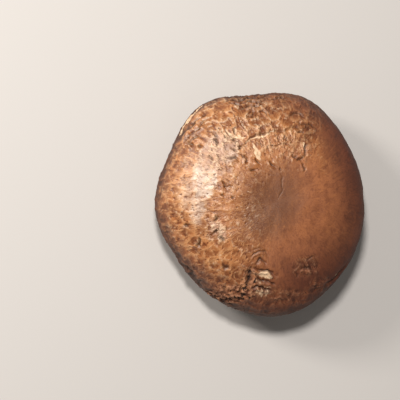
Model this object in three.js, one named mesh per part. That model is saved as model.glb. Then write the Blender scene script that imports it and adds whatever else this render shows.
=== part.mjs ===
// A portobello mushroom standing on its trimmed stem.
// It has a broad brown cap, the gills under it and a short thick stem.
// Millimetres, +Z up. The origin is the middle of the stem's cut face, and the surface it stands on is z = 0.
import * as THREE from "three";

// Cap
const CAP_WIDTH = 107; // along X
const CAP_LENGTH = 111; // along Y
const CAP_TOP = 45; // height of the crown, before its dip
const CAP_WIDEST = 20; // height where the cap is widest
const CAP_RIM = 14; // height of the lowest part of the edge
const CROWN_ROUNDING = 2.6; // 2 is an ellipse, more is flatter on top with rounder shoulders
const CROWN_DIP = 0.8; // how far the middle of the crown sinks
const DIP_REACH = 0.3; // share of the radius over which it sinks
const LIP = 7; // thickness of the rolled-in edge
const FLESH = 15; // thickness of the flesh over the stem
const ROOF_ARCH = 0.8; // 0.5 keeps the flesh's lower side high up to the edge, 1 lets it fall in a parabola
const DOME_ROWS = 13;
const LIP_ROWS = 7;
const ROOF_ROWS = 7;

// The edge isn't a true ellipse.
// Each row is [waves round the edge, swell as a share of the radius, degrees to the first crest].
const EDGE_MEAN = 0.9955;
const EDGE_WAVES = [
  [2, 0.0195, -53],
  [3, 0.0177, 46],
  [5, 0.0151, -17.7],
  [6, 0.0112, 3.2],
  [7, 0.0096, 24.9],
];
const EDGE_REACH = 3; // how fast the waves grow from the stem to the edge
// The edge also rises and falls: [waves round the edge, millimetres, degrees to the first crest]
const RIM_WAVES = [
  [2, 0.9, 140],
  [3, 0.6, 20],
  [5, 0.3, 75],
];

// Gills
const GILL_COUNT = 60;
const GILL_DEPTH = 8; // at the deepest
const GILL_PLATE = 1.2; // flesh that the gills grow from
const GILL_INNER = 0.31; // shares of the cap's radius
const GILL_OUTER = 0.86;
const GILL_BELLY = 0.8; // under 1 puts their deepest part nearer the stem
const GILL_UPPER_ROWS = 5;
const GILL_LOWER_ROWS = 7;

// Stem
const STEM_BASE_RADIUS = 12.5;
const STEM_WAIST_RADIUS = 11.4;
const STEM_TOP_RADIUS = 12.6;
const STEM_RING_RADIUS = 14.2; // the collar that the torn veil leaves
const STEM_RING_HEIGHT = 18;
const STEM_RING_THICKNESS = 1;
const STEM_CUT_BEVEL = 0.6;
const STEM_SQUASH = 0.03; // the stem is a little oval

const GAP = 0.3; // between pieces that touch
const CAP_SIDES = 56;
const STEM_SIDES = 32;
const SIDES_PER_GILL = 4; // edge, edge, valley, valley

const CAP_RADIUS = CAP_LENGTH / 2;
const LIP_SHARE = LIP / CAP_RADIUS;
const ROOF_TOP = CAP_TOP - FLESH;

function waves(rows, angle) {
  let sum = 0;
  for (const [count, size, crest] of rows) {
    sum += size * Math.cos(count * (angle - THREE.MathUtils.degToRad(crest)));
  }
  return sum;
}

// Height of the cap's upper surface, at a share of its radius from 0 on the axis to 1 at the edge.
function crownZ(share) {
  const dome = Math.sqrt(Math.max(0, 1 - share ** CROWN_ROUNDING));
  const dip = CROWN_DIP * Math.exp(-((share / DIP_REACH) ** 2));
  return CAP_WIDEST + (CAP_TOP - CAP_WIDEST) * dome - dip;
}

// Height of the flesh that the gills hang from.
function roofZ(share) {
  const inside = Math.min(1, share / (1 - LIP_SHARE));
  return CAP_WIDEST + (ROOF_TOP - CAP_WIDEST) * (1 - inside ** 2) ** ROOF_ARCH;
}

// Height of the gills' lower edges: deep in the middle of their length, shallow at both ends.
function gillEdgeZ(share) {
  const along = (share - GILL_INNER) / (GILL_OUTER - GILL_INNER);
  const belly = Math.sin(Math.PI * Math.min(1, Math.max(0, along)) ** GILL_BELLY);
  return roofZ(share) - GAP - GILL_PLATE - (GILL_DEPTH - GILL_PLATE) * Math.sqrt(belly);
}

function spaced(count, make) {
  return Array.from({ length: count }, (_, i) => make(i / (count - 1)));
}

// A body turned round +Z from a profile of [share of the radius, height], and then moved point by point.
function turned(profile, sides, place) {
  const points = profile.map(([share, z]) => new THREE.Vector2(share, z));
  const geometry = new THREE.LatheGeometry(points, sides).rotateX(Math.PI / 2);
  const at = geometry.getAttribute("position");
  for (let i = 0; i < at.count; i += 1) {
    const share = Math.hypot(at.getX(i), at.getY(i));
    const angle = Math.atan2(at.getY(i), at.getX(i));
    const column = Math.floor(i / profile.length) % sides;
    at.setXYZ(i, ...place(share, angle, at.getZ(i), column));
  }
  geometry.computeVertexNormals();
  return geometry;
}

// The cap's outline and the rise and fall of its edge, both fading out towards the stem.
function onCap(share, angle, z) {
  const swell = 1 + (EDGE_MEAN - 1 + waves(EDGE_WAVES, angle)) * share ** EDGE_REACH;
  return [
    (CAP_WIDTH / 2) * swell * share * Math.cos(angle),
    (CAP_LENGTH / 2) * swell * share * Math.sin(angle),
    z + waves(RIM_WAVES, angle) * share ** 3,
  ];
}

function capGeometry() {
  const dome = spaced(DOME_ROWS, (t) => {
    const share = Math.sin((t * Math.PI) / 2) ** (2 / CROWN_ROUNDING);
    return [share, crownZ(share)];
  });
  const lip = spaced(LIP_ROWS, (t) => [
    1 - (LIP_SHARE / 2) * (1 - Math.cos(t * Math.PI)),
    CAP_WIDEST - (CAP_WIDEST - CAP_RIM) * Math.sin(t * Math.PI),
  ]);
  const roof = spaced(ROOF_ROWS, (t) => {
    const share = (1 - LIP_SHARE) * Math.cos((t * Math.PI) / 2);
    return [share, roofZ(share)];
  });
  dome[dome.length - 1] = [1, CAP_WIDEST];
  roof[roof.length - 1] = [0, ROOF_TOP];
  const profile = [...dome, ...lip.slice(1), ...roof.slice(1)].reverse();
  return turned(profile, CAP_SIDES, onCap);
}

// One ring of gills. The plate's upper side follows the roof.
// Its lower side drops to the gills' edges at every other pair of columns.
function gillsGeometry() {
  const shareAt = (t) => GILL_INNER + (GILL_OUTER - GILL_INNER) * t;
  const upper = spaced(GILL_UPPER_ROWS, (t) => [shareAt(1 - t), roofZ(shareAt(1 - t)) - GAP]);
  const lower = spaced(GILL_LOWER_ROWS, (t) => [shareAt(t), gillEdgeZ(shareAt(t)) - GAP]);
  const profile = [...lower, ...upper, lower[0]];
  const edges = new Set([0, 1]);
  return turned(profile, GILL_COUNT * SIDES_PER_GILL, (share, angle, z, column) => {
    const valley = roofZ(share) - GAP - GILL_PLATE;
    const hangs = edges.has(column % SIDES_PER_GILL);
    return onCap(share, angle, hangs ? z : Math.max(z, valley));
  });
}

function stemGeometry() {
  const topShare = STEM_TOP_RADIUS / CAP_RADIUS;
  const profile = [
    [0, 0],
    [STEM_BASE_RADIUS - STEM_CUT_BEVEL, 0],
    [STEM_BASE_RADIUS, STEM_CUT_BEVEL],
    [STEM_BASE_RADIUS - 0.3, 4],
    [STEM_WAIST_RADIUS, 10],
    [STEM_WAIST_RADIUS + 0.2, STEM_RING_HEIGHT - 2.5],
    [STEM_RING_RADIUS, STEM_RING_HEIGHT - STEM_RING_THICKNESS],
    [STEM_RING_RADIUS, STEM_RING_HEIGHT],
    [STEM_WAIST_RADIUS + 0.4, STEM_RING_HEIGHT + 1.5],
    [STEM_WAIST_RADIUS, STEM_RING_HEIGHT + 4],
    [STEM_TOP_RADIUS, roofZ(topShare) - GAP],
    [0, ROOF_TOP - GAP],
  ];
  return turned(profile, STEM_SIDES, (radius, angle, z) => {
    const oval = 1 + STEM_SQUASH * Math.cos(2 * angle);
    return [radius * oval * Math.cos(angle), (radius / oval) * Math.sin(angle), z];
  });
}

function piece(name, geometry, material) {
  const mesh = new THREE.Mesh(geometry, new THREE.MeshStandardMaterial(material));
  mesh.name = name;
  return mesh;
}

const mushroom = new THREE.Group();
mushroom.add(
  piece("cap", capGeometry(), { color: 0xa4683f, roughness: 0.55, metalness: 0 }),
  piece("gills", gillsGeometry(), { color: 0x4b3024, roughness: 0.8, metalness: 0 }),
  piece("stem", stemGeometry(), { color: 0xe3cfb2, roughness: 0.7, metalness: 0 }),
);

export default mushroom;
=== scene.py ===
import math

import bpy
import numpy as np
from mathutils import Matrix


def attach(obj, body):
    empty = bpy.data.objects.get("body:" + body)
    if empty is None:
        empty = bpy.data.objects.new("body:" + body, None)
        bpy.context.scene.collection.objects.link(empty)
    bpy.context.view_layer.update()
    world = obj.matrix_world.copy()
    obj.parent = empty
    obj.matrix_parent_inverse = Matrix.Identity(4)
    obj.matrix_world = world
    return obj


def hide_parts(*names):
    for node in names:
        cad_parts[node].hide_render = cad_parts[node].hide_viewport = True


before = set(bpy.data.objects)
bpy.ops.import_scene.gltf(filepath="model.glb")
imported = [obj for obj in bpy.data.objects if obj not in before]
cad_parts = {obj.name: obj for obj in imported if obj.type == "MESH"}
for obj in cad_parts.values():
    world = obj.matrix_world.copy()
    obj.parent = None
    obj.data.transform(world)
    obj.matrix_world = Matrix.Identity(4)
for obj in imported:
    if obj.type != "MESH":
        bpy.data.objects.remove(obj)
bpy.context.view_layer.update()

# The cap
# The mushroom's broad low dome of flesh with its edge rolled in, grown in one piece with the stem below it.
# Its thin brown skin split into scales on the left and the top as the cap spread, and is whole on the right.
# The folds, dents and torn places are bruises that show the paler flesh under the skin.
MM = 0.001
CAP_WIDTH = 107.0  # millimetres, as every size below
CAP_LENGTH = 111.0
CAP_TOP = 45.0
CAP_WIDEST = 20.0
CAP_RIM = 14.0
CROWN_ROUNDING = 2.6
CROWN_DIP = 0.8
DIP_REACH = 0.3
LIP = 7.0
FLESH = 15.0
ROOF_ARCH = 0.8
EDGE_MEAN = 0.9955
EDGE_WAVES = ((2, 0.0195, -53), (3, 0.0177, 46), (5, 0.0151, -17.7), (6, 0.0112, 3.2), (7, 0.0096, 24.9))
EDGE_REACH = 3
RIM_WAVES = ((2, 0.9, 140), (3, 0.6, 20), (5, 0.3, 75))
CAP_RADIUS = CAP_LENGTH / 2
LIP_SHARE = LIP / CAP_RADIUS
ROOF_TOP = CAP_TOP - FLESH

SKIN_STEP = 0.46  # between the rings of points on the skin
ROOF_RINGS = 20
PROFILE_POINTS = 2000  # on each of the three stretches of the profile, which the rings are measured along
CENTRE_SIDES = 80  # points in the innermost rings, doubled each time the rings double in size
CENTRE_REACH = 7.0
MOST_DOUBLINGS = 3

# Places on the skin are ovals: x, y, heading, half length, half width, share.
# An oval's share fades in from the first to the second multiple of its size.
# Where the skin is whole and smooth
SMOOTH = ((26, -17, 0, 38, 43, 1), (42, 26, 0, 20, 28, 1), (8, 0, 0, 17, 18, 1))
SMOOTH_FADE = (1.45, 0.5)
# Where the smooth skin is scuffed rough and a little loose
SCUFFS = ((16, -32, 0, 8, 6, 1), (10, -47, 0, 15, 5, 1), (25, -41, 0, 8, 5, 1))
SCUFF_FADE = (1.3, 0.5)
SCUFF_WEAR = 0.9  # share of its smoothness that it loses
SCUFF_LOOSENESS = 0.5
# Where the skin is loosened into curled flakes
LOOSE = ((-13, 30, 0, 26, 9, 1), (9, 27, 0, 10, 9, 1), (-29, -14, 0, 6, 7, 1), (-32, 22, 0, 9, 9, 1))
LOOSE_FADE = (1.3, 0.4)
# Where its scales are broad
BROAD = ((-15, 42, 0, 26, 10, 1),)
BROAD_FADE = (1.2, 0.9)
# Where it is crusted and pitted
CRUSTS = ((-19, -45, 0, 11, 5, 1), (-13, -38, 0, 4, 6, 1))
CRUST_FADE = (1.3, 0.6)
# Where pale flesh shows
FLESH_SPOTS = (
    (-10.4, 23.9, -65, 5.4, 1.3, 1.0),
    (-25.7, 32.9, -64, 2.2, 0.75, 1.0),
    (-23.1, 33.6, -55, 3.0, 0.75, 1.0),
    (-20.2, 34.3, -76, 2.6, 0.7, 1.0),
    (-16.1, 36.2, -72, 1.9, 0.6, 1.0),
    (-19.3, 31.1, 5, 5.4, 0.7, 1.0),
    (-8.4, 31.6, 20, 10.5, 0.5, 1.0),
    (-5.0, -35.7, -14, 4.6, 2.2, 0.74),
    (-8.4, -39.0, -48, 2.3, 1.0, 0.5),
    (-3.5, -41.4, -5, 2.8, 0.8, 0.5),
    (-4.9, -44.4, -5, 5.2, 2.4, 0.5),
    (-13.6, -32.1, 57, 0.8, 0.6, 0.62),
    (-38.5, -19.5, -83, 1.6, 0.5, 0.5),
    (34.7, -36.3, 44, 5.9, 0.25, 1.0),
    (14.2, 27.2, 71, 1.7, 0.6, 1.0),
)
FLESH_FADE = (1.3, 0.5)
# Where it is frayed to pale fibres, which are painted nearly white on the left shoulder as a painted
# highlight
FRAYED_AND_HIGHLIGHT = (
    (-35.5, 13, 80, 17, 7.5, 1.0),
    (-31, 27, 40, 10, 5, 1.0),
    (-39, -3, 88, 14, 6, 0.65),
    (-43, 3, 84, 13, 8, 0.55),
    (-29.5, -13.5, -57, 9, 4, 0.7),
    (-37, -14, -55, 11, 6, 0.4),
    (-25, 25, 60, 9, 7, 1.0),
    (-22.5, 10, 85, 9, 6, 0.4),
)
FRAYED_HIGHLIGHT_FADE = (1.25, 0.35)
# Where it is as dark as at the edge, or nearly: mostly painted shade, on the right and lower sides away from
# the light and under the folds at the top, with the darker brown of a scuff
DARK_AND_SHADED_PLACES = (
    (14, -36, 12, 28, 18, 0.5),
    (16, -33, 0, 10, 7, 0.25),
    (-11, 11, 60, 9, 5, 0.2),
    (27, 40, -42, 24, 14, 0.5),
    (0, 46, 0, 20, 7, 0.25),
    (44, 18, 80, 28, 16, 0.55),
    (-15, -32, 20, 12, 6, 0.25),
)
DARK_AND_SHADED_FADE = (1.4, 0.2)
# The middle of the crown, which is a duller brown
CROWN_PLACE = ((-4, -2, 53, 20, 14, 1),)
CROWN_FADE = (1.5, 0.4)

# Folds, slits and dents: x, y, heading, half length, half width, bow, depth, height of the bank on one side
CREASES = (
    (-9.0, -24.3, 5, 4.0, 0.45, -1.5, 0.8, 0.6),
    (-10.2, -22.2, 7, 2.2, 0.35, -1.0, 0.5, 0.2),
    (-8.1, -28.4, 7, 2.4, 0.8, -1.3, 1.3, 0.3),
    (-4.9, -33.8, -16, 5.3, 0.5, -0.4, 1.4, 1.0),
    (-7.6, -38.8, -33, 3.0, 0.55, 1.1, 1.3, 0.7),
    (-2.3, -39.2, -24, 3.3, 0.5, -0.8, 1.2, 0.6),
    (-5.7, -42.1, -7, 4.6, 0.5, -1.2, 1.2, 0.8),
    (-13.2, -36.6, 86, 3.7, 1.2, -0.5, 1.2, 0.0),
    (16.0, -32.6, 3, 2.9, 0.7, -0.6, 0.8, 0.3),
    (17.8, -27.9, 31, 2.6, 0.4, -0.4, 0.4, 0.2),
    (11.3, -36.0, 79, 1.3, 0.5, 0.4, 0.4, 0.1),
    (-25.1, -31.6, -12, 1.7, 1.0, 0.5, 0.9, 0.1),
    (2.3, 7.7, 87, 5.8, 0.22, 1.3, 0.4, 0.0),
    (1.8, 16.3, 3, 0.8, 0.5, -0.7, 0.8, 0.1),
    (-24.7, 7.1, -178, 2.0, 0.34, 0.7, 0.5, 0.1),
    (-27.2, 8.3, -72, 2.6, 0.45, 0.4, 0.9, 0.2),
    (-37.8, -20.0, -80, 2.2, 0.55, 0.8, 1.3, 0.5),
    (13.2, 34.7, -12, 1.7, 0.5, -0.9, 1.0, 0.5),
    (14.7, 25.9, -114, 2.8, 0.55, 0.8, 1.1, 0.5),
    (12.0, 20.7, -153, 2.4, 0.5, -0.5, 0.9, 0.4),
    (13.2, 17.2, -74, 2.2, 0.45, -0.2, 0.9, 0.3),
    (-2.8, 18.1, -59, 2.4, 0.45, 0.5, 0.9, 0.4),
    (-9.2, 32.3, -159, 10.6, 0.45, 2.1, 0.45, 0.7),
    (8.3, 35.9, -172, 10.7, 0.45, 1.5, 0.3, 0.5),
    (-4.1, 44.0, 155, 3.0, 0.4, 2.1, 0.7, 0.5),
    (-10.3, 42.7, 53, 3.3, 0.4, 1.4, 0.7, 0.5),
    (12.8, 43.4, 171, 4.8, 0.4, 1.8, 0.7, 0.4),
    (17.1, 38.0, 165, 5.0, 0.4, 0.6, 0.7, 0.4),
    (2.8, 28.1, 177, 5.0, 0.35, 1.7, 0.4, 0.4),
    (-25.8, 32.5, -57, 2.1, 0.4, 0.6, 0.9, 0.5),
    (-23.8, 33.3, -59, 2.8, 0.4, 0.9, 0.9, 0.5),
    (-20.5, 34.1, -77, 2.4, 0.4, 0.7, 0.9, 0.5),
    (-16.2, 36.1, -72, 1.7, 0.4, 0.5, 0.8, 0.4),
    (-39.7, 37.1, 46, 9.7, 0.6, -1.0, 1.0, 0.5),
    (-37.5, 35.1, 45, 7.0, 0.5, 0.3, 0.9, 0.5),
    (-39.4, 30.3, 29, 3.3, 0.5, -0.5, 1.0, 0.5),
    (-37.5, -35.6, -49, 11.8, 0.4, 0.8, 0.8, 0.4),
    (-40.1, -31.9, -53, 6.1, 0.35, 0.1, 0.6, 0.3),
    (34.9, -36.9, 41, 7.5, 0.5, 0.4, 0.7, 0.6),
    (-29.2, 29.3, -54, 1.9, 0.6, -1.4, 1.4, 0.5),
    (-22, 21.7, -4, 2.1, 0.6, -1, 1.3, 0.5),
    (-21.7, 29.8, -63, 1, 0.65, -0.1, 1.3, 0.4),
    (-18.6, 27.1, -55, 1, 0.6, -0.3, 1.2, 0.4),
    (-21.5, 25.2, -3, 1, 0.6, 0.4, 1.2, 0.4),
    (-27.5, 2.7, -23, 0.8, 0.6, 0.2, 1.1, 0.3),
    (-22.4, 2.2, -23, 0.7, 0.6, 0.4, 1, 0.3),
    (-30.4, -7.9, -81, 1.3, 0.6, -0.4, 1.2, 0.4),
    (-31, -14.3, -71, 1.1, 0.7, -0.4, 1.4, 0.5),
    (-27, -17.8, -39, 1.6, 0.6, -0, 1.2, 0.6),
    (-43.5, -11.7, -31, 0.8, 0.7, 0.1, 1.1, 0.3),
    (-41.3, 27.8, -13, 1.2, 0.65, -0.6, 1.2, 0.4),
    (-37.4, 27.2, -36, 0.8, 0.6, 0.4, 1.1, 0.4),
    (-32, 21.2, -43, 1, 0.6, -0.5, 1.1, 0.3),
    (-10.4, 19.1, -50, 1.7, 0.6, 0.3, 1.1, 0.4),
    (-15.9, 20.4, -68, 1.5, 0.6, -0.6, 1.2, 0.4),
    (-12.6, 14.8, -12, 1.6, 0.55, 0.7, 1, 0.3),
    (9, 21.4, -24, 1.4, 0.6, 0.5, 1.2, 0.3),
    (-8.5, 52.4, 6, 11, 0.5, -0.4, 1.1, 0.7),
    (-11.7, 50.4, 7, 10.4, 0.5, -0.3, 1.1, 0.7),
    (-10.8, 48.6, 7, 9.6, 0.5, 0.1, 1.1, 0.7),
    (-9.2, 46.7, 13, 6.1, 0.5, 0.2, 1.1, 0.7),
    (5.8, 52.9, -1, 5.3, 0.5, -1, 1.1, 0.7),
    (5.2, 51.1, 2, 3.2, 0.5, -0.6, 1.1, 0.7),
)
BANK_AWAY = 2.0  # from the middle of a fold to its bank, in half widths of the fold
BANK_SPREAD = 1.3
SHADE_LEAST = 0.3  # how dark the shallowest fold is, and how much darker each millimetre makes it
SHADE_PER_DEPTH = 0.75
# All these marks waver, so that none is straight: size, and waves along x and y in radians a millimetre
WAVER_X = ((0.45, 0.3, 0.8), (0.18, -0.7, 2.1))
WAVER_Y = ((0.45, 0.7, -0.4), (0.18, 2.3, 0.5))

# How far past the cap's widest line, along the skin, these fade out or in
MARKS_END = (3.0, -1.0)
CREASES_END = (12.0, 7.0)
RELIEF_END = (9.0, 4.0)
RIM = (-16.0, -1.0)
SIDE_START = (-14.0, -3.0)
VEIL_START = (6.5, 9.0)
UNDERSIDE_START = (15.0, 19.0)

# The skin darkens towards the edge: its own darker brown there, which reaches far in on the lower right as
# painted shade on the side away from the light. The narrowest and widest that this margin is, and where it
# is widest
MARGIN_LEAST = 8.0
SHADED_MARGIN_MOST = 47.0
SHADED_MARGIN_WIDEST = -32
MARGIN_END = 1.0

# The edge's skin is torn back between these two directions, and shows a crescent of cream flesh
TEAR_ENDS = (121, 148)
TEAR_START = 1.0  # past the widest line
TEAR_WIDTH = 4.6
TEAR_RAGGEDNESS = 0.5
TEAR_DEPTH = 0.9
TEAR_SLOPE = 0.7
TEAR_FADE = (2.6, 0.6)
TEAR_SHADOW = 0.6


def waves(rows, angle):
    return sum(size * np.cos(count * (angle - math.radians(crest))) for count, size, crest in rows)


def crown_z(share):
    dome = np.sqrt(np.maximum(0, 1 - share**CROWN_ROUNDING))
    return CAP_WIDEST + (CAP_TOP - CAP_WIDEST) * dome - CROWN_DIP * np.exp(-((share / DIP_REACH) ** 2))


def roof_z(share):
    inside = np.minimum(1, share / (1 - LIP_SHARE))
    return CAP_WIDEST + (ROOF_TOP - CAP_WIDEST) * (1 - inside**2) ** ROOF_ARCH


def on_cap(share, angle, z):
    """Points in millimetres from a share of the radius, a direction and a height on an even cap."""
    swell = 1 + (EDGE_MEAN - 1 + waves(EDGE_WAVES, angle)) * share**EDGE_REACH
    x = CAP_WIDTH / 2 * swell * share * np.cos(angle)
    y = CAP_LENGTH / 2 * swell * share * np.sin(angle)
    return np.stack([x, y, z + waves(RIM_WAVES, angle) * share**3], axis=-1)


def cap_rings():
    """Share of the radius, height and distance along the skin of each ring, from the crown to the roof."""
    t = np.linspace(0, 1, PROFILE_POINTS)
    dome = np.sin(t * np.pi / 2) ** (2 / CROWN_ROUNDING)
    lip = 1 - LIP_SHARE / 2 * (1 - np.cos(t * np.pi))
    roof = (1 - LIP_SHARE) * np.cos(t * np.pi / 2)
    share = np.concatenate([dome, lip, roof])
    lip_z = CAP_WIDEST - (CAP_WIDEST - CAP_RIM) * np.sin(t * np.pi)
    z = np.concatenate([crown_z(dome), lip_z, roof_z(roof)])
    run = np.concatenate([[0], np.cumsum(np.hypot(np.diff(share) * CAP_RADIUS, np.diff(z)))])
    widest, end = run[len(t) - 1], run[2 * len(t) - 1]
    stops = np.concatenate([np.arange(0, end, SKIN_STEP), np.linspace(end, run[-1], ROOF_RINGS)])
    shares = np.interp(stops, run, share)
    shares[[0, -1]] = 0
    return shares, np.interp(stops, run, z), stops, widest


def ring_sides(share):
    if share == 0:
        return 1
    doublings = math.ceil(math.log2(max(1, share * CAP_RADIUS / CENTRE_REACH)))
    return CENTRE_SIDES * 2 ** min(MOST_DOUBLINGS, doublings)


def stitched(inner, outer):
    """Faces between two rings of points: one may be a single point, or have twice as many as the other."""
    (a, m), (b, n) = inner, outer
    if m == 1:
        return [(a, b + i, b + (i + 1) % n) for i in range(n)]
    if n == 1:
        return [(a + i, b, a + (i + 1) % m) for i in range(m)]
    if m == n:
        return [(a + i, b + i, b + (i + 1) % n, a + (i + 1) % m) for i in range(n)]
    faces = []
    for i in range(min(m, n)):
        if n > m:
            here, next_one = a + i, a + (i + 1) % m
            first, second, third = b + 2 * i, b + 2 * i + 1, b + (2 * i + 2) % n
            faces += [(here, first, second), (here, second, next_one), (next_one, second, third)]
        else:
            here, next_one = b + i, b + (i + 1) % n
            first, second, third = a + 2 * i, a + 2 * i + 1, a + (2 * i + 2) % m
            faces += [(first, here, second), (second, here, next_one), (second, next_one, third)]
    return faces


def faces_between(counts):
    """Faces that join each ring of points to the next, given how many points each ring has."""
    faces, start = [], 0
    for count, after in zip(counts, counts[1:]):
        faces += stitched((start, count), (start + count, after))
        start += count
    return faces


def local(x, y, x0, y0, heading):
    """Distances along and across a mark that lies in that heading, counted from its middle."""
    along, across = math.cos(math.radians(heading)), math.sin(math.radians(heading))
    return (x - x0) * along + (y - y0) * across, (y - y0) * along - (x - x0) * across


def fade(value, low, high):
    """A smooth rise from 0 at low to 1 at high, which may be the smaller of the two."""
    t = np.clip((value - low) / (high - low), 0, 1)
    return t * t * (3 - 2 * t)


def covered(x, y, ovals, ends):
    """The largest share that any of the ovals gives each point."""
    most = np.zeros(len(x))
    for x0, y0, heading, length, width, share in ovals:
        u, v = local(x, y, x0, y0, heading)
        most = np.maximum(most, share * fade(np.hypot(u / length, v / width), *ends))
    return most


def wavered(x, y):
    x = x + sum(size * np.sin(p * x + q * y) for size, p, q in WAVER_X)
    y = y + sum(size * np.sin(p * x + q * y) for size, p, q in WAVER_Y)
    return x, y


def creased(x, y):
    """The height and the darkness that the folds, slits and dents give each point."""
    height, shade = np.zeros(len(x)), np.zeros(len(x))
    for x0, y0, heading, length, width, bow, depth, bank in CREASES:
        u, v = local(x, y, x0, y0, heading)
        v = v - bow * (u / length) ** 2
        ends = np.exp(-((u / length) ** 4))
        valley = np.exp(-((v / width) ** 2)) * ends
        raised = np.exp(-(((v / width + BANK_AWAY) / BANK_SPREAD) ** 2)) * ends
        height += bank * raised - depth * valley
        shade = np.maximum(shade, valley * min(1, SHADE_LEAST + SHADE_PER_DEPTH * depth))
    return height, shade


def torn_edge(angle, past):
    """Where the skin is torn back from the cap's edge, and the shadow along the tear."""
    degrees = np.degrees(angle)
    first, last = TEAR_ENDS
    bulge = np.sin(np.pi * np.clip((degrees - first) / (last - first), 0, 1))
    start = TEAR_START - TEAR_WIDTH * bulge + TEAR_RAGGEDNESS * np.sin(degrees)
    torn = fade(bulge, 0.05, 0.5) * fade(past, start, start + TEAR_SLOPE) * fade(past, *TEAR_FADE)
    shadow = np.exp(-(((past - start) / TEAR_SHADOW) ** 2)) * fade(bulge, 0.05, 0.3)
    return torn, shadow


def darkened_and_shaded(x, y, angle, past):
    """How much of the edge's dark colour each point has, with painted shade on the side away from the light
    and in the dark places.
    """
    towards = (1 + np.cos(angle - math.radians(SHADED_MARGIN_WIDEST))) / 2
    margin_and_shade = fade(past, -MARGIN_LEAST - (SHADED_MARGIN_MOST - MARGIN_LEAST) * towards, MARGIN_END)
    for oval in DARK_AND_SHADED_PLACES:
        margin_and_shade = margin_and_shade + (1 - margin_and_shade) * covered(x, y, (oval,), DARK_AND_SHADED_FADE)
    return margin_and_shade


def piece(name, points, faces, attributes=None):
    """A mesh object from points in millimetres, with an attribute of one number or three at each point."""
    mesh = bpy.data.meshes.new(name)
    mesh.from_pydata((np.asarray(points) * MM).tolist(), [], faces)
    for key, values in (attributes or {}).items():
        kind = "FLOAT" if values.ndim == 1 else "FLOAT_VECTOR"
        layer = mesh.attributes.new(key, kind, "POINT")
        layer.data.foreach_set("value" if values.ndim == 1 else "vector", values.astype(np.float32).ravel())
    mesh.shade_smooth()
    made = bpy.data.objects.new(name, mesh)
    bpy.context.scene.collection.objects.link(made)
    return made


def cap_blank():
    """The cap before its skin has any scales, with what each place of the skin is like."""
    shares, heights, runs, widest = cap_rings()
    counts = [ring_sides(share) for share in shares]
    angles = [np.arange(count) / count * 2 * np.pi for count in counts]
    points = np.concatenate([on_cap(*ring) for ring in zip(shares, angles, heights)])
    angle, run = np.concatenate(angles), np.repeat(runs, counts)
    past = run - widest
    x, y = wavered(points[:, 0], points[:, 1])
    above = fade(past, *MARKS_END)
    scuffed = covered(x, y, SCUFFS, SCUFF_FADE)
    creases, shade = creased(x, y)
    torn, shadow = torn_edge(angle, past)
    return piece("mushroom_cap", points, faces_between(counts), {
        "skin": np.stack([run * np.cos(angle), run * np.sin(angle), 0 * angle], axis=-1),
        "past_widest": past,
        "smooth": covered(x, y, SMOOTH, SMOOTH_FADE) * (1 - SCUFF_WEAR * scuffed),
        "crust": covered(x, y, CRUSTS, CRUST_FADE) * above,
        "loose": np.maximum(covered(x, y, LOOSE, LOOSE_FADE), SCUFF_LOOSENESS * scuffed) * above,
        "broad": covered(x, y, BROAD, BROAD_FADE) * above,
        "margin_and_shade": darkened_and_shaded(x, y, angle, past),
        "frayed_and_highlight": covered(x, y, FRAYED_AND_HIGHLIGHT, FRAYED_HIGHLIGHT_FADE),
        "crown": covered(x, y, CROWN_PLACE, CROWN_FADE),
        "flesh": np.maximum(covered(x, y, FLESH_SPOTS, FLESH_FADE) * above, torn),
        "shade": np.maximum(shade * above, shadow),
        "relief": (creases * above - TEAR_DEPTH * torn) * fade(past, *CREASES_END),
    })


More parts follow.
